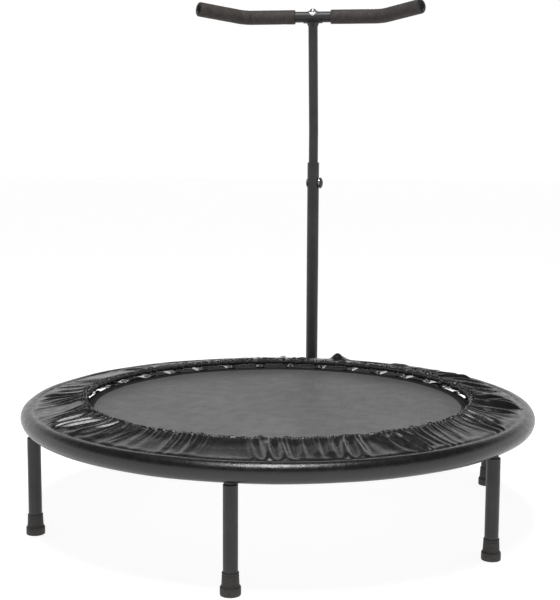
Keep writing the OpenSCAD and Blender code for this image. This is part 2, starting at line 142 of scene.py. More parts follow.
def strap_section(width, thickness):
    """A flat strap's section with rounded edges: thickness along the first axis, width along the second."""
    h, w = thickness / 2, width / 2
    side = [(h, -w + h), (h, 0), (h, w - h), (0.7 * h, w - 0.3 * h), (0, w), (-0.7 * h, w - 0.3 * h)]
    return np.array(side + [(-x, -y) for x, y in side])


def sweep(path, section, normal=None, closed=False):
    """Points and faces of a section carried along a path. The section's first axis starts along normal."""
    path = np.asarray(path, float)
    ahead = np.roll(path, -1, 0) - np.roll(path, 1, 0)
    if not closed:
        ahead[0], ahead[-1] = path[1] - path[0], path[-1] - path[-2]
    ahead /= np.linalg.norm(ahead, axis=1)[:, None]
    n = np.array(normal if normal is not None else Vector(ahead[0]).orthogonal(), float)
    rings = []
    for point, t in zip(path, ahead):
        n = n - t * (n @ t)
        n /= np.linalg.norm(n)
        b = np.cross(t, n)
        rings.append(point + section[:, :1] * n + section[:, 1:] * b)
    m = len(section)
    faces = grid_faces(len(path), m, wrap_rows=closed)
    if not closed:
        last = (len(path) - 1) * m
        faces += [list(range(m))[::-1], [last + i for i in range(m)]]
    return np.concatenate(rings), faces


def gather(parts):
    """Joins (points, faces) parts into one."""
    points, faces, count = [], [], 0
    for part_points, part_faces in parts:
        points.append(part_points)
        faces += [[i + count for i in face] for face in part_faces]
        count += len(part_points)
    return np.concatenate(points), faces


def at_angle(points, angle):
    """Points given as (outward, sideways, up) from the ring's axis, turned to an angle round it."""
    c, s = math.cos(angle), math.sin(angle)
    x, y, z = np.asarray(points, float).reshape(-1, 3).T
    return np.stack([c * x - s * y, CENTRE_Y + s * x + c * y, z], -1)


def ring_points(angles, radius, height):
    """Points round the ring's axis. Radius and height may be rows by columns."""
    return np.stack(
        np.broadcast_arrays(radius * np.cos(angles), CENTRE_Y + radius * np.sin(angles), height), -1
    )


def thicken(piece, thickness):
    """Gives a sheet its thickness, half on each side."""
    solid = piece.modifiers.new("thickness", "SOLIDIFY")
    solid.thickness = thickness
    solid.offset = 0


def spring_angle(i):
    return TURN / SPRINGS * (i + 0.5)


def smooth_step(x):
    x = np.clip(x, 0, 1)
    return x * x * (3 - 2 * x)


def resample(corners, spacing):
    """Points along a smooth curve through the corners, about spacing apart."""
    corners = np.asarray(corners, float)
    ends = np.vstack([2 * corners[0] - corners[1], corners, 2 * corners[-1] - corners[-2]])
    t = np.linspace(0, 1, 24, endpoint=False)[:, None]
    fine = []
    for a, b, c, d in zip(ends, ends[1:], ends[2:], ends[3:]):
        square = 2 * a - 5 * b + 4 * c - d
        cube = 3 * b - a - 3 * c + d
        fine.append(0.5 * (2 * b + (c - a) * t + square * t**2 + cube * t**3))
    fine = np.vstack([*fine, corners[-1:]])
    gone = np.r_[0, np.cumsum(np.linalg.norm(np.diff(fine, axis=0), axis=1))]
    count = max(2, round(gone[-1] / spacing) + 1)
    wanted = np.linspace(0, gone[-1], count)
    return np.stack([np.interp(wanted, gone, column) for column in fine.T], -1)


class Ripples:
    """Seeded waves round the ring that hold only the given counts of waves a turn."""

    SAMPLES = 16384

    def __init__(self, seed, low, high):
        rng = np.random.default_rng(seed)
        spectrum = np.zeros(self.SAMPLES // 2 + 1, complex)
        count = high - low
        spectrum[low:high] = rng.normal(size=count) + 1j * rng.normal(size=count)
        table = np.fft.irfft(spectrum, self.SAMPLES)
        self.table = table / table.std()
        self.angles = np.arange(self.SAMPLES) * TURN / self.SAMPLES

    def __call__(self, angles):
        return np.interp(np.asarray(angles) % TURN, self.angles, self.table, period=TURN)


# ---- finishes ----


class Finish:
    """A procedural material on one Principled shader."""

    def __init__(self, name, **sockets):
        self.material = bpy.data.materials.new(name)
        self.material.use_nodes = True
        self.tree = self.material.node_tree
        self.shader = self.tree.nodes["Principled BSDF"]
        for socket, value in sockets.items():
            self.shader.inputs[socket.replace("_", " ")].default_value = value
        self.place = self.node("ShaderNodeTexCoord").outputs["Object"]

    def node(self, kind, inputs=(), **settings):
        made = self.tree.nodes.new(kind)
        for key, value in settings.items():
            setattr(made, key, value)
        for key, value in dict(inputs).items():
            self.feed(made.inputs[key], value)
        return made

    def feed(self, socket, value):
        if isinstance(value, bpy.types.NodeSocket):
            self.tree.links.new(value, socket)
        else:
            socket.default_value = value

    def maths(self, operation, a, b=0.0):
        return self.node("ShaderNodeMath", {0: a, 1: b}, operation=operation).outputs[0]

    def stretched(self, scale):
        return self.node("ShaderNodeMapping", {"Vector": self.place, "Scale": scale}).outputs[0]

    def noise(self, scale, detail=3.0, roughness=0.5, stretch=None):
        vector = self.stretched(stretch) if stretch else self.place
        inputs = {"Vector": vector, "Scale": scale, "Detail": detail, "Roughness": roughness}
        return self.node("ShaderNodeTexNoise", inputs).outputs["Fac"]

    def cells(self, scale):
        inputs = {"Vector": self.place, "Scale": scale}
        return self.node("ShaderNodeTexVoronoi", inputs).outputs["Distance"]

    def between(self, value, low, high, to_low=0.0, to_high=1.0):
        inputs = {"Value": value, 1: low, 2: high, 3: to_low, 4: to_high}
        return self.node("ShaderNodeMapRange", inputs).outputs[0]

    def colour(self, factor, first, second):
        """Sets the base colour to a mix of two colours."""
        mix = self.node("ShaderNodeMix", data_type="RGBA")
        self.feed(mix.inputs[0], factor)
        self.feed(mix.inputs[6], first if not isinstance(first, tuple) else (*first, 1))
        self.feed(mix.inputs[7], (*second, 1))
        self.feed(self.shader.inputs["Base Color"], mix.outputs[2])
        return mix.outputs[2]

    def rough(self, value, low, high):
        self.feed(self.shader.inputs["Roughness"], self.between(value, 0.3, 0.7, low, high))

    def bumps(self, *heights):
        """Bump from (height, distance) pairs, the first the coarsest."""
        normal = None
        for height, distance in heights:
            inputs = {"Height": height, "Distance": distance, "Strength": 1.0}
            if normal:
                inputs["Normal"] = normal
            normal = self.node("ShaderNodeBump", inputs).outputs[0]
        self.feed(self.shader.inputs["Normal"], normal)
        return self.material

    def round_the_ring(self):
        """(distance from the ring's axis, angle round it)"""
        inputs = {0: self.place, 1: (0, CENTRE_Y, 0)}
        away = self.node("ShaderNodeVectorMath", inputs, operation="SUBTRACT").outputs[0]
        flat = self.node("ShaderNodeVectorMath", {0: away, 1: (1, 1, 0)}, operation="MULTIPLY").outputs[0]
        length = self.node("ShaderNodeVectorMath", {0: flat}, operation="LENGTH").outputs["Value"]
        apart = self.node("ShaderNodeSeparateXYZ", {0: flat})
        return length, self.maths("ARCTAN2", apart.outputs[1], apart.outputs[0])

    def waves(self, value, per_unit):
        """0 to 1 and back, per_unit times for each unit of value."""
        wave = self.maths("SINE", self.maths("MULTIPLY", value, per_unit * TURN))
        return self.maths("ADD", self.maths("MULTIPLY", wave, 0.5), 0.5)


def finish_frame_paint():
    """Satin charcoal powder coat with orange peel and faint rubs."""
    f = Finish("frame_paint", Specular_IOR_Level=0.4)
    drift = f.noise(14, 4)
    peel = f.noise(1500, 2)
    f.colour(f.between(drift, 0.3, 0.75), (0.014, 0.014, 0.015), (0.027, 0.027, 0.028))
    f.rough(f.noise(60, 5, 0.6), 0.34, 0.5)
    return f.bumps((f.noise(90, 2), 0.05 * MM), (peel, 0.04 * MM))


def finish_rubber():
    """Matte moulded rubber, warmer than the paint, with dust towards the floor."""
    f = Finish("foot_rubber", Specular_IOR_Level=0.35)
    height = f.node("ShaderNodeSeparateXYZ", {0: f.place}).outputs[2]
    low = f.between(height, 0.0, 16 * MM, 1.0, 0.0)
    dust = f.maths("MULTIPLY", low, f.between(f.noise(260, 5, 0.65), 0.4, 0.7))
    f.colour(dust, (0.034, 0.03, 0.029), (0.085, 0.078, 0.072))
    f.rough(f.noise(180, 4), 0.55, 0.75)
    return f.bumps((f.noise(240, 3), 0.12 * MM), (f.noise(2600, 2), 0.05 * MM))


def finish_mat():
    """Woven tape yarn in a fine twill, with the streaks of its yarns."""
    f = Finish("mat_cloth", Specular_IOR_Level=0.25)
    apart = f.node("ShaderNodeSeparateXYZ", {0: f.place})
    x, y = apart.outputs[0], apart.outputs[1]
    yarns = 1 / (1.5 * MM)
    warp = f.waves(x, yarns)
    twill = f.waves(f.maths("ADD", x, y), yarns / 2)
    weft = f.waves(y, yarns)
    crossing = f.maths("MULTIPLY", warp, f.maths("MULTIPLY", weft, 0.6))
    weave = f.maths("ADD", f.maths("MULTIPLY", twill, 0.55), crossing)
    streaks = f.maths("ADD", f.noise(1, 3, 0.6, (700, 9, 1)), f.noise(1, 3, 0.6, (9, 700, 1)))
    shade = f.maths("ADD", f.maths("MULTIPLY", streaks, 0.42), f.maths("MULTIPLY", f.noise(7, 3), 0.3))
    tone = f.maths("ADD", shade, f.maths("MULTIPLY", weave, 0.12))
    f.colour(f.between(tone, 0.42, 0.78), (0.07, 0.07, 0.07), (0.155, 0.154, 0.153))
    f.rough(f.noise(40, 4), 0.38, 0.5)
    return f.bumps((f.noise(30, 2), 0.2 * MM), (weave, 0.16 * MM))


def finish_webbing():
    """Ribbed webbing: ribs run round the hem, crossed by its weft."""
    f = Finish("webbing", Specular_IOR_Level=0.15)
    radius, angle = f.round_the_ring()
    ribs = f.waves(radius, 1 / (1.6 * MM))
    picks = f.waves(angle, 3400 / TURN)
    weave = f.maths("ADD", f.maths("MULTIPLY", ribs, 0.6), f.maths("MULTIPLY", picks, 0.4))
    f.colour(f.maths("MULTIPLY", weave, f.noise(200, 4)), (0.005, 0.005, 0.005), (0.016, 0.016, 0.0165))
    f.rough(f.noise(300, 3), 0.6, 0.8)
    return f.bumps((weave, 0.2 * MM), (f.noise(3000, 2), 0.05 * MM))


def finish_cover():
    """Black coated cloth: a soft gloss, a fine grain and small creases."""
    f = Finish("cover_pvc", Specular_IOR_Level=0.6)
    f.colour(f.noise(25, 4), (0.006, 0.006, 0.0065), (0.014, 0.014, 0.0145))
    f.rough(f.noise(70, 5, 0.6), 0.22, 0.36)
    grain = f.maths("ADD", f.noise(1700, 3), f.maths("MULTIPLY", f.cells(900), 0.5))
    return f.bumps((f.noise(130, 3, 0.55), 0.35 * MM), (f.noise(420, 3), 0.08 * MM), (grain, 0.03 * MM))


def finish_foam(name, dark, light):
    """Closed-cell foam: matte with fine pores."""
    f = Finish(name, Specular_IOR_Level=0.3)
    pores = f.cells(1400)
    f.colour(f.between(f.noise(90, 5, 0.6), 0.3, 0.7), dark, light)
    f.rough(f.noise(150, 3), 0.62, 0.82)
    return f.bumps((f.noise(220, 4, 0.6), 0.25 * MM), (pores, 0.09 * MM))


def finish_elastic():
    """Braided cord, with its strands crossing round it."""
    f = Finish("elastic", Specular_IOR_Level=0.3, Sheen_Weight=0.2)
    radius, angle = f.round_the_ring()
    height = f.node("ShaderNodeSeparateXYZ", {0: f.place}).outputs[2]
    across = f.maths("MULTIPLY", f.maths("ADD", radius, height), 1 / (3 * MM))
    along = f.maths("MULTIPLY", angle, 1200 / TURN)
    one_way = f.waves(f.maths("ADD", along, across), 1)
    other = f.waves(f.maths("SUBTRACT", along, across), 1)
    braid = f.maths("MAXIMUM", one_way, other)
    f.colour(braid, (0.02, 0.02, 0.02), (0.06, 0.06, 0.06))
    f.rough(f.noise(400, 3), 0.6, 0.85)
    return f.bumps((braid, 0.2 * MM))


def finish_zinc():
    """Bright zinc plate with faint blue and yellow, and fine drawn lines."""
    f = Finish("zinc_steel", Metallic=1.0)
    f.colour(f.noise(120, 3), (0.55, 0.58, 0.63), (0.68, 0.66, 0.61))
    f.rough(f.noise(500, 4, 0.6), 0.2, 0.38)
    return f.bumps((f.noise(700, 3), 0.03 * MM))


def finish_brass():
    f = Finish("brass_insert", Metallic=1.0)
    f.colour(f.noise(300, 3), (0.62, 0.44, 0.19), (0.76, 0.58, 0.3))
    f.rough(f.noise(600, 3), 0.25, 0.4)
    return f.bumps((f.noise(900, 2), 0.03 * MM))


def finish_plastic():
    """Black moulded nylon with a fine eroded texture."""
    f = Finish("moulded_plastic", Specular_IOR_Level=0.5)
    f.colour(f.noise(60, 3), (0.011, 0.011, 0.011), (0.02, 0.02, 0.02))
    f.rough(f.noise(250, 4), 0.36, 0.52)
    return f.bumps((f.noise(1300, 4, 0.65), 0.06 * MM))


def finish_thread():
    f = Finish("thread", Specular_IOR_Level=0.35, Sheen_Weight=0.2)
    f.colour(f.noise(900, 2), (0.014, 0.014, 0.015), (0.05, 0.05, 0.052))
    f.rough(f.noise(1500, 2), 0.45, 0.65)
    return f.bumps((f.noise(3500, 2), 0.06 * MM))


FINISHES = {
    "frame_paint": finish_frame_paint(),
    "foot_rubber": finish_rubber(),
    "mat_cloth": finish_mat(),
    "webbing": finish_webbing(),
    "skirt_pvc": finish_cover(),
    "rim_foam": finish_foam("rim_foam", (0.02, 0.02, 0.021), (0.04, 0.04, 0.042)),
    "grip_foam": finish_foam("grip_foam", (0.03, 0.0255, 0.024), (0.05, 0.043, 0.04)),
    "elastic": finish_elastic(),
    "zinc_steel": finish_zinc(),
    "brass_insert": finish_brass(),
    "moulded_plastic": finish_plastic(),
}
THREAD = finish_thread()


def paint_cad_nodes():
    """Gives each carried-over CAD node the finish of its material slot."""
    for part in frame["record"]["subparts"]:
        node = frame["nodes"][part["node"]]
        node.data.materials.clear()
        node.data.materials.append(FINISHES[part["material_slot"]])


# ---- mat ----

MAT_SAG = 0.9 * MM
MAT_EDGE_IN = 1.6 * MM
PULL_RIPPLE = 0.35 * MM
PULL_FADE = 22 * MM
SCALLOP = 0.7 * MM
HEM_W = 20.5 * MM
WEB_T = 1.2 * MM
STITCH_ROWS = [3.0 * MM, 12.4 * MM, 17.8 * MM]
STITCH_PITCH = 4.6 * MM
STITCH_SUNK = 0.35 * MM
RIPPLE_MAT = Ripples(41, 3, 11)


def scallop(angles):
    """How far the mat's edge draws in between the rings that pull on it."""
    return SCALLOP * (1 + np.cos(SPRINGS * angles)) / 2


def mat_height(angles, radius):
    """The cloth's middle: a slight sag, and pull ripples that fade inwards from the hem."""
    inward = np.clip(MAT_R - radius, 0, None)
    pull = PULL_RIPPLE * np.cos(SPRINGS * angles) * np.exp(-inward / PULL_FADE)
    sag = -MAT_SAG * (1 - (radius / MAT_R) ** 2)
    drift = 0.12 * MM * RIPPLE_MAT(angles) * np.clip(radius / MAT_R, 0, 1) ** 2
    return MAT_Z + sag + pull + drift


def make_mat():
    """The cloth, a sheet that ends inside the hem."""
    cols, rings = 432, 44
    angles = np.arange(cols) * TURN / cols
    share = np.linspace(0.02, 1, rings)[:, None] ** 0.85
    radius = share * (MAT_R - MAT_EDGE_IN - scallop(angles))
    points = ring_points(angles, radius, mat_height(angles, radius))
    centre = [[0, CENTRE_Y, MAT_Z - MAT_SAG]]
    faces = grid_faces(rings, cols)
    hub = rings * cols
    faces += [[hub, i, (i + 1) % cols] for i in range(cols)]
    faces = [face[::-1] for face in faces[: -cols]] + faces[-cols:]
    all_points = np.concatenate([points.reshape(-1, 3), centre])
    mat = make_piece("mat_sheet", all_points, faces, FINISHES["mat_cloth"], "mat")
    thicken(mat, MAT_T * 0.9)
    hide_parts("jump_mat")
    return mat


def hem_top(depth):
    """Height of the webbing's face over the cloth's middle, dimpled along its stitch rows."""
    dimple_w, dimple_deep = 1.1 * MM, 0.3 * MM
    fold_r, raw_edge = 1.6 * MM, 0.7 * MM
    dimples = sum(np.exp(-(((depth - row) / dimple_w) ** 2)) for row in STITCH_ROWS)
    edge = np.clip(depth / fold_r, 0, 1) * np.clip((HEM_W - depth) / raw_edge, 0.25, 1)
    return (MAT_T / 2 + WEB_T) * np.sqrt(edge) - dimple_deep * dimples


def make_mat_hem():
    """Webbing folded round the mat's edge, sewn down in three rows."""
    cols = 720
    angles = np.arange(cols) * TURN / cols
    width = HEM_W / MM
    depth = np.r_[0, 0.25, 0.7, np.linspace(1.3, width - 0.8, 28), width - 0.3, width] * MM
    over = np.maximum(hem_top(depth), MAT_T * 0.46)
    over[0] = 0
    under = -over[:0:-1]
    profile = np.concatenate([np.stack([depth, over], -1), np.stack([depth[:0:-1], under], -1)])
    edge = MAT_R + WEB_T - scallop(angles)
    radius = edge - profile[:, :1]
    height = mat_height(angles, radius) + profile[:, 1:]
    points = ring_points(angles, radius, height)
    faces = grid_faces(len(profile), cols, wrap_rows=True)
    hem = make_piece("mat_hem_webbing", points, faces, FINISHES["webbing"], "mat")
    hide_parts("mat_hem")
    return hem


def stitch(length, lift, thread_r, sides=5):
    """One stitch along the second axis, sunk at both ends."""
    t = np.linspace(-1, 1, 6)
    path = np.stack([0 * t, t * length / 2, lift * (1 - t**4) - STITCH_SUNK * t**4], -1)
    return sweep(path, round_section(thread_r, sides), normal=(1, 0, 0))


def make_mat_stitches():
    """The hem's three rows of thread, on both faces."""
    one_points, one_faces = stitch(3.7 * MM, 0.1 * MM, 0.42 * MM)
    parts = []
    for row in STITCH_ROWS:
        count = round(TURN * (MAT_R - row) / STITCH_PITCH)
        for i in range(count):
            angle = i * TURN / count
            radius = MAT_R + WEB_T - scallop(angle) - row
            cloth = mat_height(angle, np.array(radius))
            for up in (1, -1):
                points = one_points * (1, 1, up)
                points = points + (radius, 0, cloth + up * (hem_top(row) - 0.05 * MM))
                faces = one_faces if up > 0 else [face[::-1] for face in one_faces]
                parts.append((at_angle(points, angle), faces))
    points, faces = gather(parts)
    return make_piece("mat_hem_stitches", points, faces, THREAD, "mat")


TAB_R = MAT_R + 4.5 * MM
WIRE_R = 1.5 * MM
TAB_T = 0.9 * MM
TAB_W = 17.6 * MM
TAB_GAP = 0.1 * MM


def make_tabs():
    """Straps that run out from under the hem, round each ring's wire and back."""
    under = -MAT_T / 2 - WEB_T
    inner = MAT_R - HEM_W + 1 * MM
    halfway = inner + 9 * MM
    loop_r = WIRE_R + TAB_T / 2 + TAB_GAP
    turn = np.radians(np.linspace(-78, 128, 12))
    loop = [(TAB_R + loop_r * math.cos(a), loop_r * math.sin(a)) for a in turn]
    low = under - 1.5 * TAB_T - TAB_GAP
    high = under - 0.5 * TAB_T
    corners = [(inner, low), (halfway, low), (MAT_R - 5 * MM, low - TAB_GAP)]
    corners += loop + [(MAT_R - 2.5 * MM, high), (halfway, high), (inner, high)]
    path = resample(corners, 1.0 * MM)
    line = np.stack([path[:, 0], 0 * path[:, 0], path[:, 1]], -1)
    strap, faces = sweep(line, strap_section(TAB_W, TAB_T), normal=(0, 0, 1))
    strap[:, 2] += MAT_Z
    tacks = []
    one_points, one_faces = stitch(2.6 * MM, 0.08 * MM, 0.4 * MM)
    for across in np.arange(-6.6, 7, 3.3) * MM:
        for out in (5 * MM, 14 * MM):
            points = one_points * (1, 1, -1) + (inner + out, across, MAT_Z + low - TAB_T / 2)
            tacks.append((points, [face[::-1] for face in one_faces]))
    tack_points, tack_faces = gather(tacks)
    turned = [(at_angle(strap, spring_angle(i)), faces) for i in range(SPRINGS)]
    points, faces = gather(turned)
    tabs = make_piece("ring_straps", points, faces, FINISHES["webbing"], "mat")
    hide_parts("ring_tabs")
    sewn = [(at_angle(tack_points, spring_angle(i)), tack_faces) for i in range(SPRINGS)]
    points, faces = gather(sewn)
    make_piece("ring_strap_stitches", points, faces, THREAD, "mat")


def rounded_triangle(corners, radius, steps=6):
    """A closed path round a triangle whose corners are bent at radius."""
    path = []
    corners = np.asarray(corners, float)
    for i, corner in enumerate(corners):
        to_last = corners[i - 1] - corner
        to_next = corners[(i + 1) % 3] - corner
        to_last /= np.linalg.norm(to_last)
        to_next /= np.linalg.norm(to_next)
        half = math.acos(to_last @ to_next) / 2
        middle_way = (to_last + to_next) / np.linalg.norm(to_last + to_next)
        centre = corner + middle_way * radius / math.sin(half)
        start = corner + to_last * radius / math.tan(half) - centre
        end = corner + to_next * radius / math.tan(half) - centre
        swing = math.pi - 2 * half
        for t in np.linspace(0, 1, steps):
            from_start, from_end = math.sin((1 - t) * swing), math.sin(t * swing)
            path.append(centre + (from_start * start + from_end * end) / math.sin(swing))
    return np.array(path)


TIP_R = TAB_R + 17.5 * MM
RING_HALF_W = 15.3 * MM
RING_BEND_R = 2.4 * MM


def make_v_rings():
    """Bent wire triangles, each with a weld lump in the side that its strap holds."""
    corners = [(TAB_R, -RING_HALF_W, 0), (TIP_R + 0.4 * MM, 0, 0), (TAB_R, RING_HALF_W, 0)]
    path = rounded_triangle(corners, RING_BEND_R) + (0, 0, MAT_Z)
    one = sweep(path, round_section(WIRE_R, 12), closed=True)
    weld_path = [(TAB_R, y * MM, MAT_Z) for y in (-2.2, -1.4, -0.5, 0.5, 1.4, 2.2)]
    weld, weld_faces = sweep(weld_path, round_section(1, 12), normal=(1, 0, 0))
    lump = np.repeat([1.44, 1.58, 1.66, 1.66, 1.58, 1.44], 12)[:, None] * MM
    axis = np.repeat(np.array(weld_path), 12, axis=0)
    one = gather([one, (axis + (weld - axis) * lump, weld_faces)])
    points, faces = gather([(at_angle(one[0], spring_angle(i)), one[1]) for i in range(SPRINGS)])
    rings = make_piece("v_rings_wire", points, faces, FINISHES["zinc_steel"], "mat")
    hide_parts("v_rings")


COIL_R = 5.5 * MM
SPRING_WIRE_R = 1.0 * MM
EYE_R = 3.9 * MM
EYE_AT = TIP_R - 1.1 * MM
COIL_FROM = EYE_AT + 7 * MM
COIL_TO = RING_R - TUBE_R - 13 * MM
HOOK_AT = RING_R - TUBE_R + 4.5 * MM
HOOK_RISE = 5 * MM
HOOK_DROP = 5 * MM


def spring_path():
    """Centreline of one spring, pointing outwards: its eye, close-wound coil and hook."""
    eye = np.radians(np.linspace(35, 345, 22))
    points = [(EYE_AT + EYE_R * math.cos(a), 0.15 * MM * math.cos(a), EYE_R * math.sin(a)) for a in eye]
    pitch = 2.04 * SPRING_WIRE_R
    turns = (COIL_TO - COIL_FROM) / pitch
    per_turn = 14
    opening = 0.6 * per_turn
    count = int(turns * per_turn)
    for i in range(count + 1):
        t = i / count
        a = t * turns * TURN - TURN / 4
        grow = min(1, i / opening, (count - i) / opening)
        r = COIL_R * math.sin(grow * math.pi / 2)
        points.append((COIL_FROM + t * (COIL_TO - COIL_FROM), r * math.cos(a), r * math.sin(a)))
    hole = RING_Z + HOOK_RISE - MAT_Z
    corners = [(COIL_TO + 1.5 * MM, 0), (COIL_TO + 6 * MM, 0.28 * hole), (HOOK_AT - 4 * MM, 0.78 * hole)]
    corners += [(HOOK_AT - 1.2 * MM, hole - 0.3 * MM), (HOOK_AT, hole - 2 * MM)]
    corners.append((HOOK_AT, hole - HOOK_DROP))
    hook = resample(corners, 1.2 * MM)
    points += [(x, 0, z) for x, z in hook]
    return np.array(points)


def make_springs():
    """One piece for each spring, reaching from the ring to the mat."""
    path = spring_path() + (0, 0, MAT_Z)
    one, faces = sweep(path, round_section(SPRING_WIRE_R, 7), normal=(0, 1, 0))
    for i in range(SPRINGS):
        angle = spring_angle(i)
        name = f"spring_{i + 1:02d}"
        points = at_angle(one, angle)
        piece = make_piece(name, points, faces, FINISHES["zinc_steel"], None)
        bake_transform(piece)
        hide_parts("springs")


# ---- cover, foam and elastics ----

# Seeded waves of the cover's folds. Each kind of fold has its own, and most have a slow one that
# leans them aside or starts them further in.
FOLD_LONG = Ripples(7, 24, 42)
FOLD_LONG_SHIFT = Ripples(8, 3, 12)
FOLD_START = Ripples(9, 12, 40)
FOLD_MID = Ripples(10, 42, 66)
FOLD_MID_SHIFT = Ripples(11, 6, 22)
FOLD_FINE = Ripples(12, 92, 140)
FOLD_FINE_SHIFT = Ripples(13, 12, 50)
FOLD_TINY = Ripples(14, 190, 290)
BUSY = Ripples(15, 3, 14)
RIM_DRIFT = Ripples(16, 4, 20)
PUCKER = Ripples(17, 80, 150)

LONG_DEEP = 3.6 * MM
MID_DEEP = 3.3 * MM
FINE_DEEP = 1.6 * MM
TINY_DEEP = 0.9 * MM
PUCKER_DEEP = 0.7 * MM
RIM_UNEVEN = 0.22 * MM
FOLD_FLOOR = -1.1 * MM
STANDING_AT = math.radians(81.5)
STANDING_W = math.radians(1.9)
STANDING_H = 17 * MM


def creased(wave, sharp=0.22):
    """Turns waves into rounded folds with narrow creases between them, about level on the whole."""
    mean_fold = 0.8
    return np.sqrt(wave**2 + sharp**2) - mean_fold


def fold_height(angles, u):
    """Height of the cover's folds in metres at u, from 0 on the rim's crest to 1 at the inner hem."""
    away = 1 - u
    busy = np.clip(1 + 0.25 * BUSY(angles), 0.4, 1.7)
    lean = 0.045 * FOLD_LONG_SHIFT(angles) * away
    start = np.clip(0.03 + 0.08 * FOLD_START(angles + lean), 0, 1)
    long_folds = creased(FOLD_LONG(angles + lean), 0.12) * smooth_step((u - start) / 0.36) * LONG_DEEP
    lean = lean + 0.02 * FOLD_MID_SHIFT(angles) * away
    start = np.clip(0.06 + 0.12 * FOLD_START(angles + 1.0 + lean), 0, 1)
    mid_folds = creased(FOLD_MID(angles + lean), 0.08) * smooth_step((u - start) / 0.3) * MID_DEEP
    lean = lean + 0.012 * FOLD_FINE_SHIFT(angles) * away
    start = np.clip(0.3 + 0.14 * FOLD_START(angles + 2.0 + lean), 0, 1)
    fine_folds = creased(FOLD_FINE(angles + lean), 0.12) * smooth_step((u - start) / 0.4) * FINE_DEEP
    tiny = creased(FOLD_TINY(angles + lean)) * smooth_step((u - 0.86) / 0.16) * TINY_DEEP
    calm = 1 - 0.6 * smooth_step((u - 0.66) / 0.3)
    return (long_folds + mid_folds) * busy * calm + fine_folds + tiny


def standing_fold(angles, u):
    """One loose fold that stands up on the rim behind, to the right of the post."""
    across = (angles - STANDING_AT) / STANDING_W
    along = (u - 0.14) / 0.2
    return STANDING_H * np.exp(-(across**2) - along**2)


def cover_section():
    """(radius, height, u) down the cover's middle, from its casing under the rim to the inner hem."""
    under = np.radians(np.linspace(-136, -30, 15))
    side = np.radians(np.linspace(-22, 84, 15))
    over = np.radians([90, 104, 116])
    rim, crest = (
        [(RING_R + COVER_R * math.cos(a), RING_Z + COVER_R * math.sin(a)) for a in turn]
        for turn in ([*under, *side], over)
    )
    inner = [
        (RING_R - 15 * MM, RING_Z + 18.4 * MM),
        (RING_R - 27 * MM, MAT_Z + 8.6 * MM),
        (450 * MM, MAT_Z + 10.2 * MM),
        (436 * MM, MAT_Z + 12.2 * MM),
        (414 * MM, MAT_Z + 15.6 * MM),
        (HEM_R + 5 * MM, HEM_Z + 1.2 * MM),
        (HEM_R - 1 * MM, HEM_Z + 2.2 * MM),
    ]
    top = resample(crest + inner, 2.3 * MM)
    line = np.array(rim + top.tolist())
    u = np.r_[np.zeros(len(rim)), np.linspace(0, 1, len(top))]
    return line[:, 0], line[:, 1], u


def section_normals(radius, height):
    """Unit normals of a section's line, on its upper and outer side."""
    along = np.stack([np.gradient(radius), np.gradient(height)], -1)
    along /= np.linalg.norm(along, axis=1)[:, None]
    return np.stack([along[:, 1], -along[:, 0]], -1)


def make_cover():
    """The gathered cover, one sheet from the casing under the rim to the hem over the springs."""
    cols = 1200
    angles = np.arange(cols) * TURN / cols
    radius, height, u = cover_section()
    out = section_normals(radius, height)
    u = u[:, None]
    lift = fold_height(angles, u) + standing_fold(angles, u) + RIM_UNEVEN * RIM_DRIFT(angles)
    lift = np.where(lift < FOLD_FLOOR, FOLD_FLOOR + (lift - FOLD_FLOOR) * 0.25, lift)
    section_angle = np.degrees(np.arctan2(height - RING_Z, radius - RING_R))[:, None]
    below = smooth_step((-88 - section_angle) / 45)
    lift = lift + below * PUCKER_DEEP * creased(PUCKER(angles))
    r = radius[:, None] + out[:, :1] * lift
    z = height[:, None] + out[:, 1:] * lift
    points = ring_points(angles, r, z).reshape(-1, 3)
    faces = grid_faces(len(radius), cols)
    legs = np.array([(RING_R * math.cos(a), CENTRE_Y + RING_R * math.sin(a)) for a in LEG_ANGLES])
    apart = np.linalg.norm(points[:, None, :2] - legs, axis=2).min(1)
    inside_boss = (apart < BOSS_R - 0.3 * MM) & (points[:, 2] < RING_Z)
    faces = [face for face in faces if not inside_boss[face].all()]
    cover = make_piece("spring_cover_sheet", points, faces, FINISHES["skirt_pvc"], "frame")
    thicken(cover, COVER_T)
    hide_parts("rim_cover", "spring_cover")
    return cover


def make_hem_casing():
    """The hem's casing, a flattened tube drawn up in tight gathers by its elastic."""
    cols, around = 2800, 20
    angles = np.arange(cols) * TURN / cols
    turn = (np.arange(around) * TURN / around)[:, None]
    shift = 0.004 * FOLD_FINE_SHIFT(angles) + 0.009 * np.cos(turn)
    gathers = creased(FOLD_TINY(angles + shift), 0.05) * 1.5 * MM
    gathers = gathers + creased(FOLD_FINE(angles + shift), 0.1) * 0.9 * MM
    outward = np.clip(np.cos(turn), 0, 1)
    flow = fold_height(angles, np.ones((1, 1))) * (0.35 + 0.65 * outward)
    wide = 5.4 * MM * (1 + 0.12 * FOLD_FINE(angles + 0.7))
    tall = 6.8 * MM
    push = gathers * (0.7 + 0.3 * np.abs(np.cos(turn)))
    centre_r = HEM_R - 5.0 * MM + 1.1 * MM * FOLD_MID(angles + 0.3)
    centre_z = HEM_Z - 3.0 * MM + 0.3 * flow + 0.5 * MM * FOLD_FINE(angles + 1.1)
    r = centre_r + (wide + 0.6 * push) * np.cos(turn)
    z = centre_z + (tall + 0.8 * push) * np.sin(turn)
    points = ring_points(angles, r, z)
    faces = grid_faces(around, cols, wrap_rows=True)
    return make_piece("cover_hem_casing", points, faces, FINISHES["skirt_pvc"], "frame")


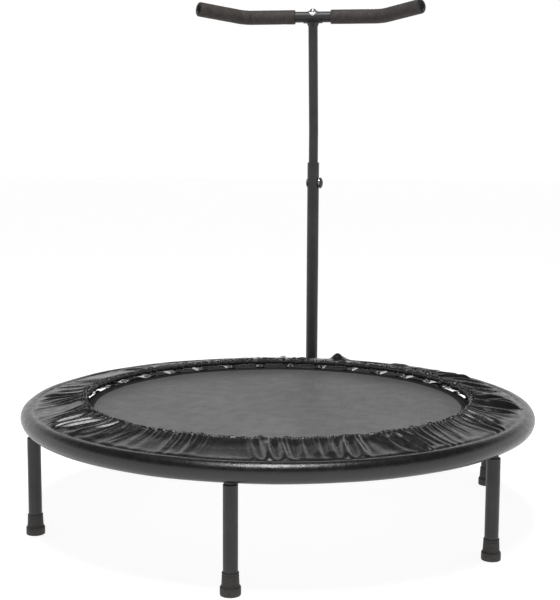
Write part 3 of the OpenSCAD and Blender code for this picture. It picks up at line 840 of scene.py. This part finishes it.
def make_cord_ring(name, node, radius, height, cord_r, drift):
    """An elastic cord inside a casing, a little flattened where the cloth bears on it."""
    cols, around = 720, 10
    angles = np.arange(cols) * TURN / cols
    turn = (np.arange(around) * TURN / around)[:, None]
    squeeze = 1 - 0.06 * np.abs(drift(angles))
    r = radius + cord_r * np.cos(turn)
    z = height + cord_r * squeeze * np.sin(turn)
    points = ring_points(angles, r, z)
    faces = grid_faces(around, cols, wrap_rows=True)
    cord = make_piece(name, points, faces, FINISHES["elastic"], "frame")
    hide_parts(node)


def make_foam():
    """The foam sleeve on the ring tube, slit along its lower inner side."""
    cols = 540
    angles = np.arange(cols) * TURN / cols
    outer = np.radians(np.linspace(-42, 120, 26))
    first_lip, last_lip = math.radians(-43.5), math.radians(121.5)
    lip_out, lip_in = FOAM_R - 1.2 * MM, TUBE_R + 1.0 * MM
    section = [(FOAM_R - 0.15 * MM, a) for a in outer] + [(lip_out, last_lip), (lip_in, last_lip)]
    section += [(TUBE_R + 0.05 * MM, a) for a in outer[::-1]] + [(lip_in, first_lip), (lip_out, first_lip)]
    distance = np.array([s[0] for s in section])[:, None]
    turn = np.array([s[1] for s in section])[:, None]
    off_tube = distance > TUBE_R + 0.9 * MM
    soft = np.where(off_tube, 0.12 * MM * RIM_DRIFT(angles + 2), 0)
    r = RING_R + (distance + soft) * np.cos(turn)
    z = RING_Z + (distance + soft) * np.sin(turn)
    points = ring_points(angles, r, z)
    faces = grid_faces(len(section), cols, wrap_rows=True)
    foam = make_piece("rim_foam_sleeve", points, faces, FINISHES["rim_foam"], "frame")
    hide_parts("rim_foam")


# ---- handlebar ----


def bar_line(x0, spacing):
    """The bar's line from x0 outwards on the right, in the plane that its ends bend in.

    Gives its points, its headings, how far along each one is, and the whole length.
    """
    tangent = BAR_BEND_R * math.tan(BAR_BEND / 2)
    straight = BAR_CORNER_X - tangent
    arc = BAR_BEND_R * BAR_BEND
    total = straight - x0 + arc + BAR_END - tangent
    gone = np.linspace(0, total, round(total / spacing) + 1)
    first = np.clip(gone, 0, straight - x0)
    second = np.clip(gone - (straight - x0), 0, arc)
    third = np.clip(gone - (straight - x0) - arc, 0, None)
    heading = second / BAR_BEND_R
    x = x0 + first + BAR_BEND_R * np.sin(heading) + third * math.cos(BAR_BEND)
    y = -BAR_BEND_R * (1 - np.cos(heading)) - third * math.sin(BAR_BEND)
    return np.stack([x, y, 0 * x], -1), heading, gone, total


def tilted(points):
    """From the bend's plane to the frame: tilted up at the ends, with the middle at the bar's seat."""
    turn = Matrix.Rotation(-BAR_TILT, 3, "X")
    return np.asarray(points) @ np.array(turn).T + (0, BAR_Y, BAR_Z)


def bar_rings(line, heading, radii, sides):
    """Rings of points round a line in the plane. Radii may be rows by sides."""
    turn = np.arange(sides) * TURN / sides
    side_way = np.stack([np.sin(heading), np.cos(heading), 0 * heading], -1)[:, None, :]
    up = np.array([0, 0, 1.0])
    radii = np.broadcast_to(radii, (len(line), sides))[..., None]
    return line[:, None, :] + radii * (np.cos(turn)[:, None] * side_way + np.sin(turn)[:, None] * up)


def mirrored(points):
    return points * np.array([-1, 1, 1])


def make_handlebar():
    """The bent tube with its wall and rounded ends."""
    line, heading, _, _ = bar_line(0, 3 * MM)
    full = np.concatenate([mirrored(line[:0:-1]), line])
    headings = np.concatenate([-heading[:0:-1], heading])
    sides = 56
    outer = np.full((len(full), 1), BAR_R)
    inner = np.full((len(full), 1), BAR_R - BAR_WALL)
    outer[[0, -1]] -= 0.4 * MM
    inner[[0, -1]] += 0.4 * MM
    skin = bar_rings(full, headings, outer, sides)
    bore = bar_rings(full, headings, inner, sides)[::-1]
    points = tilted(np.concatenate([skin, bore]).reshape(-1, 3))
    faces = grid_faces(2 * len(full), sides, wrap_rows=True)
    bar = make_piece("handlebar_tube", points, faces, FINISHES["frame_paint"], "handle")
    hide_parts("handlebar")


def grip_radii(gone, heading, total, sides, seed):
    """The foam's outer radius: rounded ends, creases inside the bend and a slight unevenness."""
    rng = np.random.default_rng(seed)
    turn = np.arange(sides) * TURN / sides
    radii = np.full((len(gone), sides), GRIP_R)
    straight = gone[np.argmax(heading > 0)]
    bend_end = straight + BAR_BEND_R * BAR_BEND
    inside = np.clip(-np.cos(turn), 0, 1)
    for at in np.linspace(straight - 7 * MM, bend_end + 7 * MM, 8):
        at = at + rng.normal(0, 0.7 * MM)
        deep = rng.uniform(0.7, 1.5) * MM
        bow = 2.2 * MM * rng.normal() * np.sin(turn)
        reach = inside ** rng.uniform(0.6, 1.3)
        crease = np.exp(-(((gone[:, None] - at - bow) / (1.5 * MM)) ** 2))
        swell = np.exp(-(((gone[:, None] - at - bow - 2.8 * MM) / (2.0 * MM)) ** 2))
        radii += (-deep * crease + 0.35 * deep * swell) * reach
    for _ in range(14):
        at, around = rng.uniform(0, total), rng.uniform(0, TURN)
        near = np.clip(np.cos(turn - around), 0, 1) ** 2
        dent = np.exp(-(((gone[:, None] - at) / (9 * MM)) ** 2)) * near
        radii += rng.normal(0, 0.16) * MM * dent
    from_end = np.minimum(gone, total - gone)[:, None]
    rounding = 2.2 * MM
    drop = rounding - np.sqrt(np.clip(rounding**2 - np.clip(rounding - from_end, 0, None) ** 2, 0, None))
    return radii - drop


def make_grip(name, node, left, seed):
    """A foam sleeve from near the middle of the bar to its end, with a bore that the bar fills."""
    line, heading, gone, total = bar_line(GRIP_X, 1.3 * MM)
    sides = 72
    ends = np.array([0.25, 0.7, 1.3]) * MM
    gone_fine = np.unique(np.concatenate([gone, ends, total - ends]))
    line = np.stack([np.interp(gone_fine, gone, line[:, i]) for i in range(3)], -1)
    heading = np.interp(gone_fine, gone, heading)
    radii = grip_radii(gone_fine, heading, total, sides, seed)
    skin = bar_rings(line, heading, radii, sides)
    bore = bar_rings(line, heading, BAR_R + 0.02 * MM, sides)[::-1]
    points = np.concatenate([skin, bore]).reshape(-1, 3)
    faces = grid_faces(2 * len(line), sides, wrap_rows=True)
    if left:
        points = mirrored(points)
        faces = [face[::-1] for face in faces]
    grip = make_piece(name, tilted(points), faces, FINISHES["grip_foam"], "handle")
    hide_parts(node)


# ---- camera, floor and light ----


def make_camera():
    """From in front, a little to the right, looking slightly down."""
    camera = bpy.data.objects.new("camera", bpy.data.cameras.new("camera"))
    bpy.context.scene.collection.objects.link(camera)
    bpy.context.scene.camera = camera
    camera.data.sensor_width = 36
    camera.data.lens = 70.893
    yaw, pitch, roll = -0.1548, 0.12325, 0.00533
    ahead = Vector((math.sin(yaw) * math.cos(pitch), math.cos(yaw) * math.cos(pitch), -math.sin(pitch)))
    level = Vector((math.cos(yaw), -math.sin(yaw), 0))
    upright = level.cross(ahead)
    right = level * math.cos(roll) + upright * math.sin(roll)
    up = upright * math.cos(roll) - level * math.sin(roll)
    turned = Matrix((right, up, -ahead)).transposed().to_4x4()
    camera.matrix_world = Matrix.Translation((0.36384, -2.33123, 0.71563)) @ turned


def make_floor():
    """A pale floor that runs out to the backdrop."""
    mesh = bpy.data.meshes.new("floor")
    reach = 30
    corners = [(-reach, -reach, 0), (reach, -reach, 0), (reach, reach, 0), (-reach, reach, 0)]
    mesh.from_pydata(corners, [], [(0, 1, 2, 3)])
    floor = bpy.data.objects.new("floor", mesh)
    bpy.context.scene.collection.objects.link(floor)
    white = Finish("floor_white", Roughness=0.9, Specular_IOR_Level=0.1)
    white.colour(white.noise(0.8, 2), (0.4, 0.4, 0.4), (0.42, 0.42, 0.42))
    white.shader.inputs["Emission Color"].default_value = (1, 1, 1, 1)
    white.shader.inputs["Emission Strength"].default_value = 0.88
    mesh.materials.append(white.material)


def make_light(name, at, aim, size, power):
    """A rectangular soft box."""
    data = bpy.data.lights.new(name, "AREA")
    data.shape = "RECTANGLE"
    data.size, data.size_y = size
    data.energy = power
    light = bpy.data.objects.new(name, data)
    bpy.context.scene.collection.objects.link(light)
    light.location = at
    light.rotation_euler = (Vector(aim) - Vector(at)).to_track_quat("-Z", "Y").to_euler()


def make_studio():
    """A white backdrop round a dim ceiling, with one soft box overhead."""
    world = bpy.data.worlds.new("studio")
    bpy.context.scene.world = world
    world.use_nodes = True
    tree = world.node_tree
    apart = tree.nodes.new("ShaderNodeSeparateXYZ")
    fade = tree.nodes.new("ShaderNodeMapRange")
    backdrop_top, ceiling_from = 0.30, 0.54
    backdrop, ceiling = 1.0, 0.03
    for socket, value in zip((1, 2, 3, 4), (backdrop_top, ceiling_from, backdrop, ceiling)):
        fade.inputs[socket].default_value = value
    tree.links.new(tree.nodes.new("ShaderNodeTexCoord").outputs["Generated"], apart.inputs[0])
    tree.links.new(apart.outputs[2], fade.inputs[0])
    tree.links.new(fade.outputs[0], tree.nodes["Background"].inputs[0])
    bpy.context.scene.view_settings.view_transform = "Standard"
    make_light("overhead", (0.0, -0.5, 3.2), (0, 0, 0.2), (1.0, 1.6), 75)
    make_floor()


# ---- assembly ----

make_camera()
make_studio()
paint_cad_nodes()

mat = make_mat()
hem = make_mat_hem()
stitches = make_mat_stitches()
make_tabs()
make_v_rings()
make_springs()

cover = make_cover()
casing = make_hem_casing()
make_cord_ring("hem_elastic_cord", "hem_elastic", HEM_R, HEM_Z, HEM_CORD_R, FOLD_FINE)
make_cord_ring("rim_elastic_cord", "rim_elastic", *RIM_CORD_AT, RIM_CORD_R, PUCKER)
make_foam()

make_handlebar()
make_grip("grip_foam_right", "grip_right", False, 21)
make_grip("grip_foam_left", "grip_left", True, 22)
